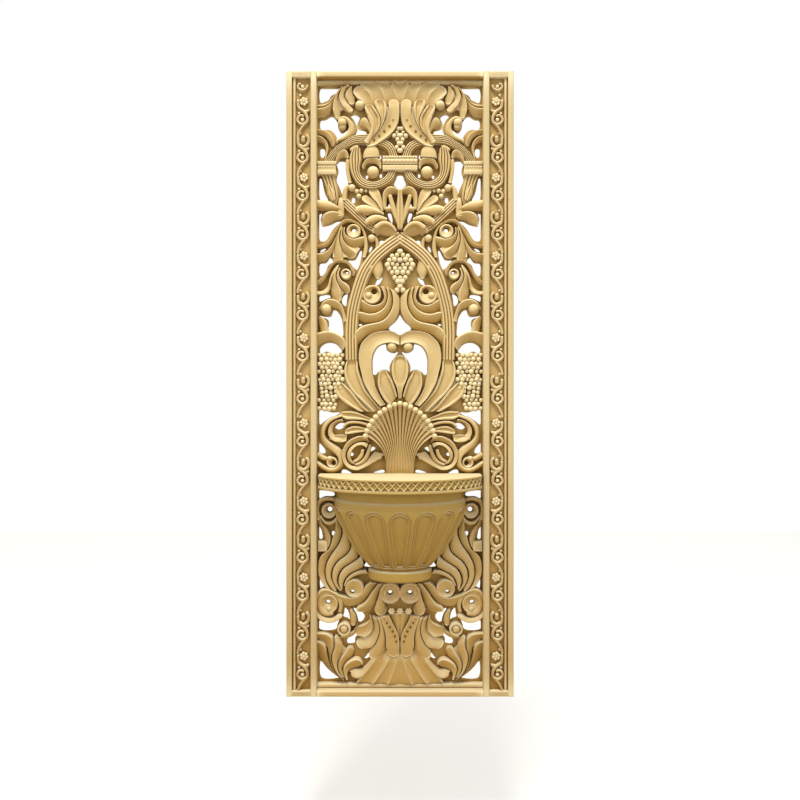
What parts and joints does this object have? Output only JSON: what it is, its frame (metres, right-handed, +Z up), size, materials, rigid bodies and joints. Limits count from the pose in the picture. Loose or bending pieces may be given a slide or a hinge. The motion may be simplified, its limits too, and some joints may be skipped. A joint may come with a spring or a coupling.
{
  "type": "stone relief panel",
  "caption": "Tall wall panel of pierced stone scrolls, leaves and grapes between two vine borders, with a fluted half-round bowl on the front.",
  "frame": {"origin": "middle of the wall mount: on the flat back, on the upright middle line, 600 mm above the foot of the panel", "axes": "+Z up along the panel's length, +Y out of the back into the wall, the carved front faces -Y, +X to the right seen from the front"},
  "size_m": [0.8, 0.2823, 2.2],
  "materials": {
    "centre_stone": "warm yellow-beige cast sandstone, matt and finely gritty, browner in the recesses",
    "border_stone": "pale yellow-beige cast sandstone, matt, brown in the channel",
    "bowl_stone": "golden-brown cast sandstone, matt, very pale on its top"
  },
  "bodies": {
    "root": {"openwork_panel": "centre_stone", "left_border": "border_stone", "right_border": "border_stone", "bowl": "bowl_stone"}
  },
  "joints": []
}
